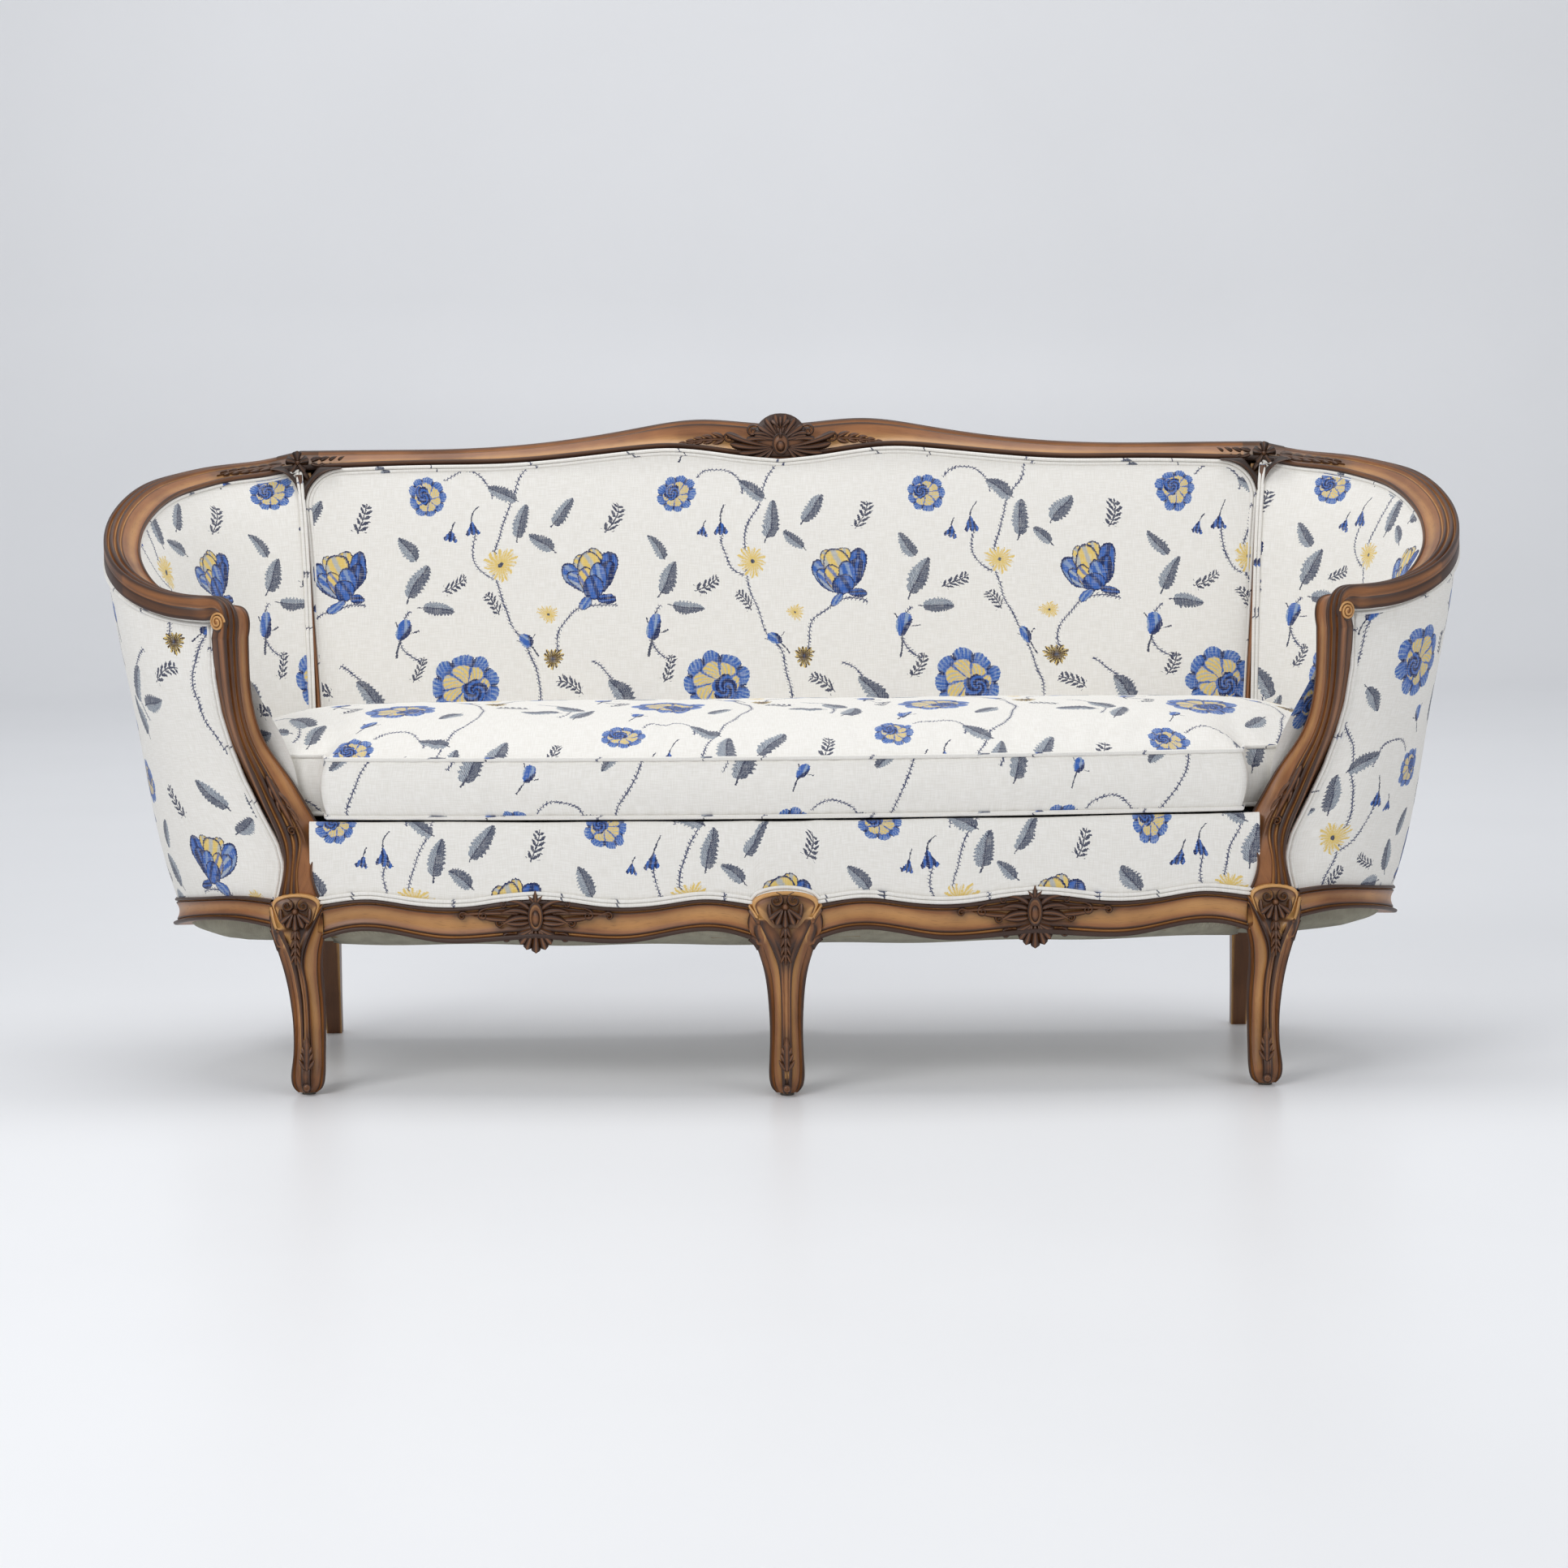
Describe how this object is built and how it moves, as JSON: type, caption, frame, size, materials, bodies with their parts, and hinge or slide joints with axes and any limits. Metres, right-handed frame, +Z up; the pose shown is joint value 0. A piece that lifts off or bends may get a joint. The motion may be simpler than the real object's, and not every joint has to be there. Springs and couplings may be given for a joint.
{
  "type": "cabriole sofa",
  "caption": "Three-seat cabriole sofa with a carved serpentine show frame, curved upholstered wings and arms and one long loose seat cushion.",
  "frame": {"origin": "on the floor under the middle of the sofa's width and depth", "axes": "+Z up, +X to the right of someone who stands in front of the sofa, -Y towards that person"},
  "size_m": [1.8238, 0.6838, 0.8786],
  "materials": {
    "carved_walnut": "waxed, rubbed lighter on the edges",
    "plain_beech": "bare",
    "floral_linen": "matt woven cloth with a flower pattern",
    "jute_webbing": "coarse woven",
    "spring_steel": "bare",
    "dust_cloth": "matt"
  },
  "bodies": {
    "sofa_frame": {"crest_rail": "carved_walnut", "rear_post_right": "carved_walnut", "rear_post_left": "carved_walnut", "wing_rail_right": "carved_walnut", "wing_rail_left": "carved_walnut", "arm_rail_right": "carved_walnut", "arm_rail_left": "carved_walnut", "arm_support_right": "carved_walnut", "arm_support_left": "carved_walnut", "front_leg_right": "carved_walnut", "front_leg_left": "carved_walnut", "front_leg_centre": "carved_walnut", "front_rail_right": "carved_walnut", "front_rail_left": "carved_walnut", "side_rail_right": "carved_walnut", "side_rail_left": "carved_walnut", "back_rail_right": "plain_beech", "back_rail_left": "plain_beech", "rear_leg_centre": "plain_beech", "seat_stretcher": "plain_beech", "corner_braces": "plain_beech", "back_tack_rail": "plain_beech", "inner_back_panel": "floral_linen", "inner_side_panel_right": "floral_linen", "inner_side_panel_left": "floral_linen", "outer_back_panel": "floral_linen", "outer_side_panel_right": "floral_linen", "outer_side_panel_left": "floral_linen", "seat_deck": "floral_linen", "seat_webbing": "jute_webbing", "seat_springs": "spring_steel", "dust_cover": "dust_cloth", "foot_glides": "spring_steel"},
    "loose_cushion": {"seat_cushion": "floral_linen"}
  },
  "joints": [
    {"name": "cushion_lift", "type": "slide", "parent": "sofa_frame", "child": "loose_cushion", "axis": [0, 0, 1], "range_m": [0, 0.3]}
  ]
}
